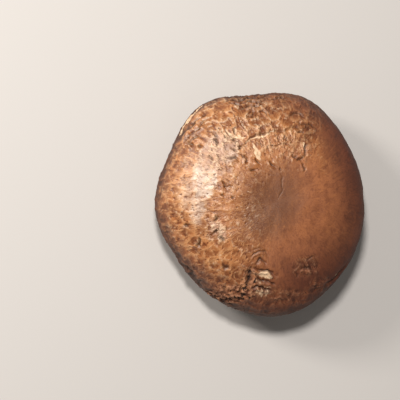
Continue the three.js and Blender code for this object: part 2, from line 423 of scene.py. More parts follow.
class Wiring:
    """Adds nodes to a tree, so that one pattern can both shape a surface and colour it."""

    def __init__(self, tree):
        self.tree = tree

    def add(self, kind, values=None, **settings):
        made = self.tree.nodes.new(kind)
        for key, setting in settings.items():
            setattr(made, key, setting)
        for key, value in (values or {}).items():
            if isinstance(value, bpy.types.NodeSocket):
                self.tree.links.new(value, made.inputs[key])
            else:
                made.inputs[key].default_value = value
        return made

    def stored(self, name, vector=False):
        """What the mesh holds at each point under a name."""
        if self.tree.bl_idname == "GeometryNodeTree":
            kind = "FLOAT_VECTOR" if vector else "FLOAT"
            return self.add("GeometryNodeInputNamedAttribute", {0: name}, data_type=kind).outputs[0]
        return self.add("ShaderNodeAttribute", attribute_name=name).outputs["Vector" if vector else "Fac"]

    def math(self, operation, *values):
        return self.add("ShaderNodeMath", dict(enumerate(values)), operation=operation).outputs[0]

    def vector(self, operation, *values):
        return self.add("ShaderNodeVectorMath", dict(enumerate(values)), operation=operation).outputs[0]

    def stretch(self, value, factor):
        return self.add("ShaderNodeVectorMath", {0: value, "Scale": factor}, operation="SCALE").outputs[0]

    def place(self, x=0.0, y=0.0, z=0.0):
        return self.add("ShaderNodeCombineXYZ", {0: x, 1: y, 2: z}).outputs[0]

    def axes(self, place):
        return self.add("ShaderNodeSeparateXYZ", {0: place}).outputs

    def fade(self, value, low, high, bottom=0.0, top=1.0):
        values = {0: value, 1: low, 2: high, 3: bottom, 4: top}
        return self.add("ShaderNodeMapRange", values, interpolation_type="SMOOTHSTEP").outputs[0]

    def noise(self, place, size, detail=2.0, roughness=0.5, colour=False):
        values = {"Vector": place, "Scale": 1 / size, "Detail": detail, "Roughness": roughness}
        return self.add("ShaderNodeTexNoise", values).outputs[1 if colour else 0]

    def swing(self, value, size=1.0):
        """A noise's rise and fall about its middle, times a size."""
        return self.math("MULTIPLY_ADD", value, size, -size / 2)

    def wander(self, place, size, detail=2.0, roughness=0.5):
        """A direction that wanders with the place."""
        way = self.noise(place, size, detail, roughness, colour=True)
        return self.vector("SUBTRACT", way, (0.5, 0.5, 0.5))

    def line(self, value, level, width, core):
        """A line where a noise crosses a level: nothing beyond its width, and whole in its core."""
        away = self.math("ABSOLUTE", self.math("SUBTRACT", value, level))
        return self.fade(away, width, core)

    def cells(self, place, size, feature, output="Distance"):
        values = {"Vector": place, "Scale": 1 / size}
        made = self.add("ShaderNodeTexVoronoi", values, voronoi_dimensions="2D", feature=feature)
        return made.outputs[output]

    def inward(self, place, size, way, factor):
        """How far a place lies on the inner side of its cell's middle, times a factor."""
        offset = self.vector("SUBTRACT", place, self.cells(place, size, "F1", "Position"))
        along = self.add("ShaderNodeVectorMath", {0: offset, 1: way}, operation="DOT_PRODUCT")
        return self.math("MULTIPLY", along.outputs["Value"], -factor)

    def keep(self, geometry, name, value):
        """The geometry, with a value stored at each of its points under a name."""
        values = {"Geometry": geometry, "Name": name, "Value": value}
        return self.add("GeometryNodeStoreNamedAttribute", values).outputs[0]

    def blend(self, share, first, second):
        return self.add("ShaderNodeMix", {0: share, 2: first, 3: second}).outputs[0]

    def all_of(self, *values):
        total = values[0]
        for value in values[1:]:
            total = self.math("MULTIPLY", total, value)
        return total

    def sum_of(self, *values):
        total = values[0]
        for value in values[1:]:
            total = self.math("ADD", total, value)
        return total

    def colours(self, share, first, second, blend="MIX"):
        values = {0: share, 6: first, 7: second}
        made = self.add("ShaderNodeMix", values, data_type="RGBA", blend_type=blend)
        return made.outputs[2]

    def painted(self, colour, *layers):
        """A colour under layers, each a share and the colour it brings."""
        for share, layer in layers:
            colour = self.colours(share, colour, layer)
        return colour


# Kinds of noise: how many layers it has, and how rough they are
SOFT = (2, 0.6)
FOLDS = (3, 0.55)
ROUGH = (3, 0.6)
FINE = (3, 0.65)
SPECKS = (3, 0.72)
CLOUDS = (4, 0.6)
STRANDS = (4, 0.68)
# Sizes of the pattern of split skin
SCALE_SIZE = 4.7
BROAD_SIZE = 6.8
CHIP_SIZE = 2.6
DOT_SIZE = 2.6
PIT_SIZE = 1.9
CRUMB_SIZE = 2.1
CURL_SIZE = 4.4
PATCH_SIZE = 9.0
BREAK_SIZE = 2.8
CRUST_BREAK_SIZE = 3.0
RAGGED_SIZE = 6.0
WANDER_SIZE = 6.5
LUMP_SIZE = 19.0
BLOTCH_SIZE = 15.0
MOTTLE_SIZE = 3.2
SPECK_SIZE = 1.3
GRAIN_SIZE = 0.45
FIBRES_ROUND = 42.0  # how close the fibres stand round the cap, and how fast they change outwards
FIBRE_DRIFT = 0.16
WRINKLES_ROUND = 11.0
WRINKLE_DRIFT = 0.75
# How far noise moves the scales' borders: across them, along the fibres, and the fibres' own direction
BORDER_WANDER = 4.0
FIBRE_PULL = 6.0
WAY_WANDER = 7.0
CHIP_WANDER = 3.0
CURL_PULL = 0.2  # shares of the fibres' pull that curls, dots and pits follow
DOT_PULL = 0.3
PIT_PULL = 0.4
SCALE_LEAST = 0.3  # the reach of the smallest scales, and how much farther the largest reach
SCALE_SPREAD = 0.3
# How far noise moves the limits of split, loose, crusted and frayed skin with its painted highlight, and of
# bare flesh, in shares
RAGGEDNESS = 1.0
LOOSE_RAGGEDNESS = 3.0
CRUST_RAGGEDNESS = 0.9
FRAYED_HIGHLIGHT_RAGGEDNESS = 0.8
FLESH_RAGGEDNESS = 0.7
VEIL_RAGGEDNESS = 5.0  # millimetres
# The distance from the crown at which scales are whole, and at which the fibres' relief is
SCALES_FROM = (22.0, 40.0)
FIBRES_FROM = (12.0, 34.0)
# The one-sidedness below is of the scales' dents and of their painted shade and light
BROAD_LEAN = 0.6  # how one-sided the broad scales are, where the others are 1
BROAD_DEPTH = 2.5  # times as deep as the others
# Millimetres that each feature stands out of the skin
RELIEF = {
    "ridge": 0.22,
    "web": 0.077,
    "chip": 0.154,
    "flake": 0.396,
    "shadowed_gap": -0.44,
    "scale": -0.12,
    "dot": -0.21,
    "pit": -0.6,
    "fibre": 0.2,
    "wrinkle": 0.9,
    "lump": 1.3,
    "crumb": 2.6,
}


def split_skin(wire):
    """The pattern of split skin: brown scales with torn fibrous borders, chips, pits and radial fibres."""
    skin, broad = wire.stored("skin", vector=True), wire.stored("broad")
    run = wire.add("ShaderNodeVectorMath", {0: skin}, operation="LENGTH").outputs["Value"]
    wander = wire.wander(skin, WANDER_SIZE, *ROUGH)
    way = wire.vector("NORMALIZE", wire.vector("ADD", skin, wire.stretch(wander, WAY_WANDER)))

    def radial(close, drift, detail, roughness):
        """Noise in long cells that point outwards."""
        outwards = wire.place(z=wire.math("MULTIPLY", run, drift))
        return wire.noise(wire.vector("ADD", wire.stretch(way, close), outwards), 1.0, detail, roughness)

    fibre = radial(FIBRES_ROUND, FIBRE_DRIFT, *STRANDS)
    torn = wire.stretch(way, wire.swing(fibre, FIBRE_PULL))
    bent = wire.vector("ADD", skin, wire.stretch(wander, BORDER_WANDER))
    borders = wire.vector("ADD", bent, torn)

    def scales(size, lean):
        """Distances from borders and middles, and how far a place is on its scale's inner side."""
        edge = wire.cells(borders, size, "DISTANCE_TO_EDGE")
        return edge, wire.cells(borders, size, "F1"), wire.inward(borders, size, way, lean)

    both = zip(scales(SCALE_SIZE, 1.0), scales(BROAD_SIZE, BROAD_LEAN))
    edge, near, inward = (wire.blend(broad, small, large) for small, large in both)
    patchy = wire.noise(skin, PATCH_SIZE)
    broken = wire.noise(skin, BREAK_SIZE, *SOFT)
    ragged = wire.swing(wire.noise(skin, RAGGED_SIZE, *ROUGH), RAGGEDNESS)
    split = wire.fade(wire.math("ADD", wire.stored("smooth"), ragged), 0.95, 0.1)
    outer = wire.fade(run, *SCALES_FROM, bottom=0.2)

    tint = wire.axes(wire.cells(borders, SCALE_SIZE, "F1", "Color"))[0]
    reach = wire.math("MULTIPLY_ADD", tint, SCALE_SPREAD, SCALE_LEAST)
    scale = wire.fade(wire.math("SUBTRACT", near, reach), 0.3, -0.35)
    # Each scale is painted darker on its outer side, and its pale border paler on its inner side: painted
    # shade and light of each scale's hollow, over the scales' own brown and pale borders
    scale = wire.all_of(scale, split, outer, wire.fade(inward, -1.4, 1.2, 1.3, 0.4))
    web = wire.all_of(wire.fade(edge, 0.3, 0.0), split, outer, wire.fade(broken, 0.3, 0.6, bottom=0.4))
    web = wire.all_of(web, wire.fade(inward, -1.2, 1.4, 0.3, 1.9), wire.fade(broad, 0, 1, 1.0, 1.4))
    whole = wire.all_of(wire.fade(broken, 0.44, 0.6), wire.fade(patchy, 0.4, 0.56))
    whole = wire.blend(broad, whole, wire.fade(broken, 0.36, 0.52))
    ridge = wire.all_of(wire.fade(edge, 0.09, 0.0), whole, split, wire.fade(inward, -0.8, 1.0, bottom=0.15))
    chip_place = wire.vector("ADD", borders, wire.stretch(wander, CHIP_WANDER))
    chip = wire.fade(wire.cells(chip_place, CHIP_SIZE, "DISTANCE_TO_EDGE"), 0.2, 0.02)
    chip = wire.all_of(chip, wire.fade(patchy, 0.52, 0.4), wire.fade(broken, 0.48, 0.62), split)

    curl = wire.noise(wire.vector("ADD", borders, wire.stretch(torn, CURL_PULL)), CURL_SIZE, *FOLDS)
    lifted = wire.math("ADD", wire.stored("loose"), wire.swing(broken, LOOSE_RAGGEDNESS))
    lifted = wire.all_of(wire.fade(lifted, 0.35, 0.8), split)
    # A dark line beside each curled flake: a shallow recess with a painted shadow in it
    shadowed_gap = wire.all_of(wire.line(curl, 0.545, 0.04, 0.005), lifted, wire.fade(patchy, 0.62, 0.42))

    dot = wire.cells(wire.vector("ADD", bent, wire.stretch(torn, DOT_PULL)), DOT_SIZE, "F1")
    dot = wire.all_of(wire.fade(dot, 0.2, 0.1), wire.fade(broken, 0.5, 0.42), split)
    crusty = wire.swing(wire.noise(skin, CRUST_BREAK_SIZE), CRUST_RAGGEDNESS)
    crusty = wire.fade(wire.math("ADD", wire.stored("crust"), crusty), 0.3, 0.75)
    worn = wire.all_of(wire.fade(patchy, 0.6, 0.4), split)
    limit = wire.math("SUBTRACT", wire.fade(worn, 0, 1, 0.88, 0.67), wire.math("MULTIPLY", crusty, 0.2))
    hole = wire.noise(wire.vector("ADD", bent, wire.stretch(torn, PIT_PULL)), PIT_SIZE, *SOFT)
    return {
        "bent": bent,
        "split": split,
        "calm": wire.fade(run, *FIBRES_FROM, bottom=0.4),
        "tint": wire.fade(tint, 0.35, 0.85),
        "scale": scale,
        "web": web,
        "ridge": ridge,
        "chip": chip,
        "flake": wire.all_of(wire.line(curl, 0.47, 0.05, 0.01), lifted),
        "shadowed_gap": shadowed_gap,
        "dot": dot,
        "pit": wire.fade(wire.math("SUBTRACT", hole, limit), 0.0, 0.05),
        "fibre": fibre,
        "wrinkle": radial(WRINKLES_ROUND, WRINKLE_DRIFT, *FOLDS),
        "crust": crusty,
        "crumb": wire.noise(bent, CRUMB_SIZE, *SOFT),
    }


def new_tree(name, sizes):
    """The wiring of a new Geometry Nodes tree with named sizes, and what is given to it."""
    tree = bpy.data.node_groups.new(name, "GeometryNodeTree")
    tree.interface.new_socket("Geometry", in_out="INPUT", socket_type="NodeSocketGeometry")
    for size, value in sizes.items():
        kind = "NodeSocketInt" if isinstance(value, int) else "NodeSocketFloat"
        tree.interface.new_socket(size, in_out="INPUT", socket_type=kind)
    tree.interface.new_socket("Geometry", in_out="OUTPUT", socket_type="NodeSocketGeometry")
    wire = Wiring(tree)
    return wire, wire.add("NodeGroupInput").outputs


def ended(wire, geometry, material):
    """The tree, ended in plain faces of one material."""
    real = wire.add("GeometryNodeRealizeInstances", {0: geometry}).outputs[0]
    dressed = wire.add("GeometryNodeSetMaterial", {"Geometry": real, "Material": material}).outputs[0]
    wire.add("NodeGroupOutput", {0: dressed})
    return wire.tree


def raised(wire, geometry, height, material):
    """The tree, ended in faces that are moved along their normals by a height in millimetres."""
    normal = wire.add("GeometryNodeInputNormal").outputs[0]
    offset = wire.stretch(normal, wire.math("MULTIPLY", height, MM))
    moved = wire.add("GeometryNodeSetPosition", {"Geometry": geometry, "Offset": offset}).outputs[0]
    return ended(wire, moved, material)


def relief_tree(material):
    """Moves the skin in and out by the pattern of split skin and by the marks."""
    wire, given = new_tree("skin_relief", RELIEF)
    parts = split_skin(wire)
    past = wire.stored("past_widest")
    deeper = wire.fade(wire.stored("broad"), 0, 1, 1.0, BROAD_DEPTH)
    shaggy = wire.fade(wire.stored("frayed_and_highlight"), 0, 1, 1.0, 2.0)
    parts["scale"] = wire.all_of(parts["scale"], deeper)
    parts["fibre"] = wire.all_of(wire.swing(parts["fibre"]), parts["calm"], shaggy)
    parts["wrinkle"] = wire.all_of(wire.swing(parts["wrinkle"]), wire.fade(past, *RIM))
    parts["crumb"] = wire.all_of(wire.swing(parts["crumb"]), parts["crust"])
    parts["lump"] = wire.swing(wire.noise(wire.stored("skin", vector=True), LUMP_SIZE))
    height = wire.sum_of(wire.stored("relief"), *(wire.all_of(parts[name], given[name]) for name in RELIEF))
    height = wire.all_of(height, wire.fade(past, *RELIEF_END))
    return raised(wire, given["Geometry"], height, material)


def grown(blank, tree, sizes):
    """The plain mesh that a node tree makes of a blank, with the tree's named sizes."""
    modifier = blank.modifiers.new("growth", "NODES")
    modifier.node_group = tree
    keys = {item.name: item.identifier for item in tree.interface.items_tree if item.in_out == "INPUT"}
    for name, value in sizes.items():
        modifier[keys[name]] = value
    view = bpy.context.evaluated_depsgraph_get()
    mesh = bpy.data.meshes.new_from_object(blank.evaluated_get(view), depsgraph=view)
    blank.modifiers.remove(modifier)
    old, blank.data = blank.data, mesh
    mesh.name = blank.name
    bpy.data.meshes.remove(old)
    return blank


def paint(red, green, blue):
    """A colour as a shader takes it, from the everyday scale of 0 to 255."""
    return tuple((value / 255) ** 2.2 for value in (red, green, blue)) + (1.0,)


def plain_material(name):
    material = bpy.data.materials.new(name)
    material.use_nodes = True
    material.node_tree.nodes.clear()
    return material, Wiring(material.node_tree)


def shaded(wire, colour, rough, height, bump, constants=None):
    """Ends a material in one shader; a bump is its strength, and its depth in millimetres."""
    strength, depth = bump
    relief = {"Height": height, "Strength": strength, "Distance": depth * MM}
    normal = wire.add("ShaderNodeBump", relief).outputs[0]
    values = {"Base Color": colour, "Roughness": rough, "Normal": normal, **(constants or {})}
    shader = wire.add("ShaderNodeBsdfPrincipled", values)
    wire.add("ShaderNodeOutputMaterial", {0: shader.outputs[0]})


RUSSET = paint(180, 112, 71)
CHESTNUT = paint(96, 44, 19)
TAN = paint(190, 120, 68)
CREAM = paint(248, 214, 178)
WEB = paint(222, 164, 112)
# Near-white of the painted highlight on the frayed fibres
IVORY_HIGHLIGHT = paint(252, 233, 214)
UMBER = paint(54, 27, 13)
# Darker brown of the edge, also used for the painted shade on the side away from the light
MARGIN_AND_SHADE = paint(130, 66, 38)
SIDE = paint(124, 92, 72)
CROWN = paint(108, 66, 42)
BARE_FLESH = paint(240, 206, 168)
# Paler colour of the crust's crumbs, with painted light on their tops
PALE_LIT_CRUMB = paint(212, 152, 116)
TORN_VEIL = paint(206, 170, 134)
UNDERSIDE = paint(92, 60, 44)
SKIN_BUMP = (0.8, 0.14)
SMOOTH_ROUGHNESS = 0.52
SPLIT_ROUGHNESS = 0.38
SKIN_SHINE = {"Specular IOR Level": 0.9, "Specular Tint": (1.0, 0.92, 0.84, 1.0)}


def cap_skin():
    """Brown skin, darker in the scales' middles, with cream ridges and fibres where it has split, and with
    painted highlight, painted shade and painted shadows in its colour.
    """
    material, wire = plain_material("cap_skin")
    parts = split_skin(wire)
    skin, past = wire.stored("skin", vector=True), wire.stored("past_widest")
    loose, margin_and_shade = wire.stored("loose"), wire.stored("margin_and_shade")
    fibre, split, crusty = parts["fibre"], parts["split"], parts["crust"]
    frayed_and_highlight = wire.math("ADD", wire.stored("frayed_and_highlight"), wire.swing(fibre, FRAYED_HIGHLIGHT_RAGGEDNESS))
    frayed_and_highlight = wire.fade(frayed_and_highlight, 0.05, 1.0)
    blotch = wire.noise(skin, BLOTCH_SIZE, *CLOUDS)
    speck = wire.noise(skin, SPECK_SIZE, *SPECKS)
    grain = wire.noise(skin, GRAIN_SIZE, *FINE)
    mottle = wire.noise(wire.vector("MULTIPLY", parts["bent"], (1.0, 0.6, 1.0)), MOTTLE_SIZE, *ROUGH)
    lines = wire.math("MAXIMUM", parts["ridge"], wire.all_of(parts["chip"], 0.9))

    smooth_skin = wire.colours(wire.fade(blotch, 0.3, 0.75, top=0.55), RUSSET, CHESTNUT)
    # Frayed fibres painted up to near white: a painted highlight over the pale frayed skin
    pale = wire.all_of(wire.fade(frayed_and_highlight, 0.0, 0.7), wire.fade(fibre, 0.3, 0.56, bottom=0.45))
    ground = wire.painted(
        TAN,
        (wire.fade(blotch, 0.4, 0.7, top=0.6), RUSSET),
        (pale, wire.colours(wire.fade(frayed_and_highlight, 0.3, 0.9), WEB, IVORY_HIGHLIGHT)),
        (wire.all_of(loose, 0.6), RUSSET),
        (wire.all_of(parts["tint"], wire.fade(frayed_and_highlight, 0, 1, 0.42, 0.15)), CHESTNUT),
    )
    streaky = wire.blend(split, 0.42, wire.all_of(parts["calm"], 0.85))
    pale_streak = wire.all_of(wire.fade(fibre, 0.5, 0.62), streaky, wire.fade(frayed_and_highlight, 0, 1, 1.0, 0.3))
    dark_streak = wire.all_of(wire.fade(fibre, 0.48, 0.34), streaky, wire.fade(frayed_and_highlight, 0, 1, 1.0, 0.55))
    curled = wire.colours(wire.fade(frayed_and_highlight, 0.0, 0.5, bottom=0.3), WEB, CREAM)
    colour = wire.painted(
        smooth_skin,
        (wire.all_of(split, 0.85), ground),
        (wire.all_of(wire.stored("crown"), 0.9), CROWN),
        (pale_streak, wire.colours(split, TAN, WEB)),
        (dark_streak, CHESTNUT),
        (wire.all_of(parts["scale"], wire.fade(frayed_and_highlight, 0, 1, 0.5, 0.2)), CHESTNUT),
        (wire.fade(speck, 0.5, 0.72, top=0.35), CHESTNUT),
        (wire.fade(mottle, 0.5, 0.72, top=0.35), CHESTNUT),
        (wire.fade(mottle, 0.48, 0.3, top=0.2), TAN),
        (wire.all_of(parts["web"], wire.fade(blotch, 0.3, 0.7, 0.34, 0.2)), WEB),
        (wire.all_of(lines, wire.fade(wire.stored("broad"), 0, 1, 0.45, 0.75)), CREAM),
        (wire.all_of(parts["dot"], 0.85), CHESTNUT),
        (wire.all_of(parts["flake"], 0.7), curled),
        # Painted shadow beside the curled flakes
        (wire.all_of(parts["shadowed_gap"], 0.8), UMBER),
    )

    # The edge's own darker brown, and the painted shade on the lower right and in the dark places,
    # multiplied into the colour
    edge = wire.colours(wire.fade(past, *SIDE_START), MARGIN_AND_SHADE, SIDE)
    colour = wire.colours(margin_and_shade, colour, edge, "MULTIPLY")
    # Painted shade in the hollows between the crust's crumbs
    crumb_hollow_shade = wire.all_of(crusty, wire.fade(parts["crumb"], 0.46, 0.36, top=0.5))
    bareness = wire.sum_of(wire.stored("flesh"), wire.swing(fibre), wire.swing(speck, FLESH_RAGGEDNESS))
    bare = wire.colours(wire.fade(fibre, 0.36, 0.54, bottom=0.5), TAN, BARE_FLESH)
    under = wire.math("ADD", past, wire.swing(speck, VEIL_RAGGEDNESS))
    colour = wire.painted(
        colour,
        (wire.all_of(wire.fade(parts["wrinkle"], 0.5, 0.36, top=0.55), wire.fade(past, *RIM)), UMBER),
        # The crust's raised crumbs are painted paler and the hollows between them dark: painted light and
        # shade over the crust's own pitted brown, with the skin's own dark pits
        (wire.all_of(crusty, wire.fade(parts["crumb"], 0.48, 0.62, top=0.55)), PALE_LIT_CRUMB),
        (wire.math("MAXIMUM", parts["pit"], crumb_hollow_shade), UMBER),
        (wire.fade(bareness, 0.35, 0.75), bare),
        (wire.all_of(wire.stored("shade"), 0.85), UMBER),
        (wire.fade(under, *VEIL_START), TORN_VEIL),
        (wire.fade(under, *UNDERSIDE_START), UNDERSIDE),
    )
    height = wire.sum_of(
        wire.all_of(fibre, wire.fade(split, 0, 1, bottom=0.8)),
        wire.all_of(grain, 0.25),
        wire.all_of(speck, 0.4),
        wire.all_of(lines, 0.4),
    )
    rough = wire.sum_of(
        wire.fade(split, 0, 1, SMOOTH_ROUGHNESS, SPLIT_ROUGHNESS),
        wire.fade(grain, 0.2, 0.8, -0.06, 0.08),
        wire.all_of(loose, 0.12),
        wire.all_of(margin_and_shade, 0.3),
        wire.all_of(crusty, 0.3),
    )
    shaded(wire, colour, rough, height, SKIN_BUMP, SKIN_SHINE)
    return material


cap = grown(cap_blank(), relief_tree(cap_skin()), RELIEF)
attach(cap, "root")
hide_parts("cap")

# The gills
# Thin blades of brown flesh that hang in a ring from the cap's lower side and bear the spores.
# The long ones run almost from the stem to the edge; shorter ones fill the widening gaps between them.
GILL_STARTS = (0.29, 0.60, 0.43, 0.60)  # shares of the radius where each of four neighbours begins
GILL_END = 0.865
GILL_INNER = 0.31  # shares of the radius between which the gills' depth swells and shrinks
GILL_OUTER = 0.86
GILL_BELLY = 0.8  # under 1 puts their deepest part nearer the stem
GILL_OPENING = 0.35  # share of its own length over which a gill deepens
GILL_DEEPEST = 7.6
GILL_SHALLOWEST = 0.4
GILL_ROOT = 0.3  # how far a gill reaches up into the flesh
TURN_UNEVENNESS = 0.02  # radians between neighbours
START_UNEVENNESS = 0.1
DRIFT_ALONG = 5.0  # how fast a gill's sway changes along it, and from one gill to the next
DRIFT_ROUND = 9.0
ROOT_SWAY = 0.3  # share of the sway that reaches a gill's root
SEED_STEP = 7.3  # how far apart two seeds, and two gills, read the noise
GILL_STEP = 3.7
BLADE_POINTS = (10, 2, 3)  # along a gill, through it and down it
GILL_SIZES = {
    "sets of four": 72,
    "seed": 3,
    "depth": GILL_DEEPEST - GILL_SHALLOWEST,
    "root thickness": 0.55,
    "edge thickness": 0.22,
    "sway": 0.05,
}
GILL_MOTTLE_SIZE = 3.0
GILL_GRAIN_SIZE = 0.5
GILL_ROUGHNESS = 0.62
GILL_BUMP = (0.5, 0.2)
GILL_BROWN = paint(112, 74, 54)
GILL_DARK = paint(72, 44, 32)
GILL_ROOTS = paint(58, 34, 26)
GILL_EDGES = paint(158, 118, 92)


def waves_of(wire, rows, angle):
    """The sum of cosine waves as nodes."""
    terms = []
    for count, size, crest in rows:
        phase = wire.math("MULTIPLY_ADD", angle, count, -count * math.radians(crest))
        terms.append(wire.math("MULTIPLY", wire.math("COSINE", phase), size))
    return wire.sum_of(*terms)


def blades_round(wire, given, seed):
    """Unit blocks, one for each gill, that know their own direction and the share where they start."""
    count = wire.math("MULTIPLY", given["sets of four"], len(GILL_STARTS))
    line = wire.add("GeometryNodeMeshLine", {"Count": count, "Offset": (0, 0, 0)}).outputs[0]
    index = wire.add("GeometryNodeInputIndex").outputs[0]
    uneven = wire.noise(wire.place(x=wire.math("MULTIPLY", index, GILL_STEP), y=seed), 1.0, 0)
    turn = wire.math("MULTIPLY", wire.math("DIVIDE", index, count), 2 * math.pi)
    turn = wire.math("ADD", turn, wire.swing(uneven, TURN_UNEVENNESS))
    start = wire.swing(uneven, START_UNEVENNESS)
    for neighbour, share in enumerate(GILL_STARTS):
        chosen = wire.math("COMPARE", wire.math("MODULO", index, len(GILL_STARTS)), neighbour, 0.1)
        start = wire.math("ADD", start, wire.math("MULTIPLY", chosen, share))
    for name, value in (("turn", turn), ("start", start)):
        line = wire.keep(line, name, value)
    sizes = dict(enumerate(((1, 1, 1), *BLADE_POINTS)))
    block = wire.add("GeometryNodeMeshCube", sizes).outputs[0]
    blades = wire.add("GeometryNodeInstanceOnPoints", {"Points": line, "Instance": block}).outputs[0]
    return wire.add("GeometryNodeRealizeInstances", {0: blades}).outputs[0]


def gill_tree(material):
    """Repeats one blade round the stem, then bends each blade to the cap's lower side."""
    wire, given = new_tree("gills", GILL_SIZES)
    seed = wire.math("MULTIPLY", given["seed"], SEED_STEP)
    blades = blades_round(wire, given, seed)
    spot = wire.axes(wire.add("GeometryNodeInputPosition").outputs[0])
    t = wire.math("ADD", spot[0], 0.5)
    hang = wire.math("SUBTRACT", 0.5, spot[2])
    blades = wire.keep(blades, "hang", hang)
    turn, start = wire.stored("turn"), wire.stored("start")
    share = wire.math("MULTIPLY_ADD", t, wire.math("SUBTRACT", GILL_END, start), start)

    drift_at = wire.math("MULTIPLY_ADD", share, DRIFT_ALONG, wire.math("MULTIPLY", turn, DRIFT_ROUND))
    drift = wire.swing(wire.noise(wire.place(x=drift_at, y=seed), 1.0, 1))
    angle = wire.math("ADD", turn, wire.all_of(drift, given["sway"], wire.math("ADD", hang, ROOT_SWAY)))

    along = wire.math("DIVIDE", wire.math("SUBTRACT", share, GILL_INNER), GILL_OUTER - GILL_INNER)
    along = wire.math("MINIMUM", wire.math("MAXIMUM", along, 0.0), 1.0)
    belly = wire.math("SINE", wire.math("MULTIPLY", wire.math("POWER", along, GILL_BELLY), math.pi))
    belly = wire.math("SQRT", wire.math("MAXIMUM", belly, 0.0))
    opening = wire.math("SQRT", wire.fade(t, 0.0, GILL_OPENING))
    deep = wire.math("MULTIPLY_ADD", wire.all_of(belly, opening), given["depth"], GILL_SHALLOWEST)

    inside = wire.math("MINIMUM", wire.math("DIVIDE", share, 1 - LIP_SHARE), 1.0)
    falling = wire.math("SUBTRACT", 1.0, wire.math("POWER", inside, 2.0))
    arch = wire.math("POWER", falling, ROOF_ARCH)
    roof = wire.math("MULTIPLY_ADD", arch, ROOF_TOP - CAP_WIDEST, CAP_WIDEST)
    cubed = wire.math("POWER", share, EDGE_REACH)
    swell = wire.math("ADD", waves_of(wire, EDGE_WAVES, angle), EDGE_MEAN - 1)
    reach = wire.all_of(wire.math("MULTIPLY_ADD", swell, cubed, 1.0), share, CAP_RADIUS)
    rise = wire.all_of(waves_of(wire, RIM_WAVES, angle), cubed)
    z = wire.sum_of(wire.math("SUBTRACT", roof, wire.math("MULTIPLY", deep, hang)), rise, GILL_ROOT)

    thinning = wire.math("SUBTRACT", given["edge thickness"], given["root thickness"])
    thick = wire.math("MULTIPLY_ADD", hang, thinning, given["root thickness"])
    side = wire.math("MULTIPLY", spot[1], thick)
    cosine, sine = wire.math("COSINE", angle), wire.math("SINE", angle)
    x = wire.all_of(reach, cosine, CAP_WIDTH / CAP_LENGTH)
    x = wire.math("SUBTRACT", x, wire.math("MULTIPLY", side, sine))
    y = wire.math("ADD", wire.all_of(reach, sine), wire.math("MULTIPLY", side, cosine))
    bent = {"Geometry": blades, "Position": wire.stretch(wire.place(x, y, z), MM)}
    return ended(wire, wire.add("GeometryNodeSetPosition", bent).outputs[0], material)


def gill_flesh():
    """Chocolate brown, darker near the roots, with fine lines down each blade and a paler worn edge."""
    material, wire = plain_material("gill_flesh")
    hang = wire.stored("hang")
    place = wire.stretch(wire.add("ShaderNodeTexCoord").outputs["Object"], 1 / MM)
    mottle = wire.noise(place, GILL_MOTTLE_SIZE, *CLOUDS)
    fine = wire.noise(place, GILL_GRAIN_SIZE, *ROUGH)
    worn = wire.all_of(wire.fade(hang, 0.85, 1.0), wire.fade(fine, 0.4, 0.6, top=0.6))
    colour = wire.painted(
        GILL_BROWN,
        (wire.fade(mottle, 0.35, 0.65), GILL_DARK),
        (wire.fade(hang, 0.45, 0.0, top=0.7), GILL_ROOTS),
        (worn, GILL_EDGES),
    )
    shaded(wire, colour, GILL_ROUGHNESS, fine, GILL_BUMP)
    return material


gills = grown(piece("gill_blades", [(0, 0, 0)], []), gill_tree(gill_flesh()), GILL_SIZES)
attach(gills, "root")
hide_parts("gills")

# The stem
# A short thick stalk of firm pale flesh with long fibres, grown together with the cap and the gills' roots.
# Its foot was cut off flat with a knife, and the cut has browned a little.
STEM_BASE_RADIUS = 12.5
STEM_WAIST_RADIUS = 11.4
STEM_TOP_RADIUS = 12.6
STEM_SQUASH = 0.03
STEM_SIDES = 224
STEM_STEP = 0.35
STEM_PROFILE = (  # radius and height, from inside the cap down to the middle of the cut
    (0, 30.2),
    (STEM_TOP_RADIUS, 29.7),
    (STEM_WAIST_RADIUS + 0.5, 22),
    (STEM_WAIST_RADIUS + 0.2, 16),
    (STEM_WAIST_RADIUS, 11),
    (STEM_WAIST_RADIUS + 0.15, 8),
    (STEM_BASE_RADIUS - 0.3, 4),
    (STEM_BASE_RADIUS, 0.8),
    (STEM_BASE_RADIUS - 0.15, 0.25),
    (STEM_BASE_RADIUS - 0.6, 0),
    (0, 0),
)
SIDE_FOOT = (0.1, 1.5)  # heights between which the side's relief fades in, at its foot and under the cap
SIDE_TOP = (29.6, 28)
STEM_FIBRE_SIZE = 1.1
STEM_FIBRE_LENGTH = 0.09  # less makes the fibres longer
STEM_LUMP_SIZE = 6.0
STEM_WANDER_SIZE = 7.0
STEM_WANDER = 1.6  # how far its fibres stray
STEM_BLOTCH_SIZE = 8.0
STEM_GRAIN_SIZE = 0.4
SCURF_SIZE = 1.7
SCURF_START = 0.58
CUT_RAGGEDNESS = 5.0
STEM_ROUGHNESS = 0.58
STEM_BUMP = (0.7, 0.25)
STEM_RELIEF = {"fibre": 0.9, "lump": 1.6, "scurf": 0.25}
FIBRE_TAN = paint(196, 160, 120)
FIBRE_CREAM = paint(232, 208, 174)
STEM_BLOTCH = paint(182, 138, 98)
STEM_FOOT = paint(176, 128, 86)
SCURF = paint(168, 118, 78)
CUT_CREAM = paint(226, 200, 164)
CUT_TAN = paint(196, 152, 110)
CUT_MIDDLE = paint(180, 134, 94)
CUT_RIM = paint(150, 104, 68)
STEM_GLOW = {
    "Subsurface Weight": 0.12,
    "Subsurface Radius": (0.003, 0.002, 0.001),
    "Subsurface Scale": 0.6,
}


def on_stem(radius, angle, z):
    """Points on the stem's slightly oval section."""
    oval = 1 + STEM_SQUASH * np.cos(2 * angle)
    return np.stack([radius * oval * np.cos(angle), radius / oval * np.sin(angle), z + 0 * angle], axis=-1)


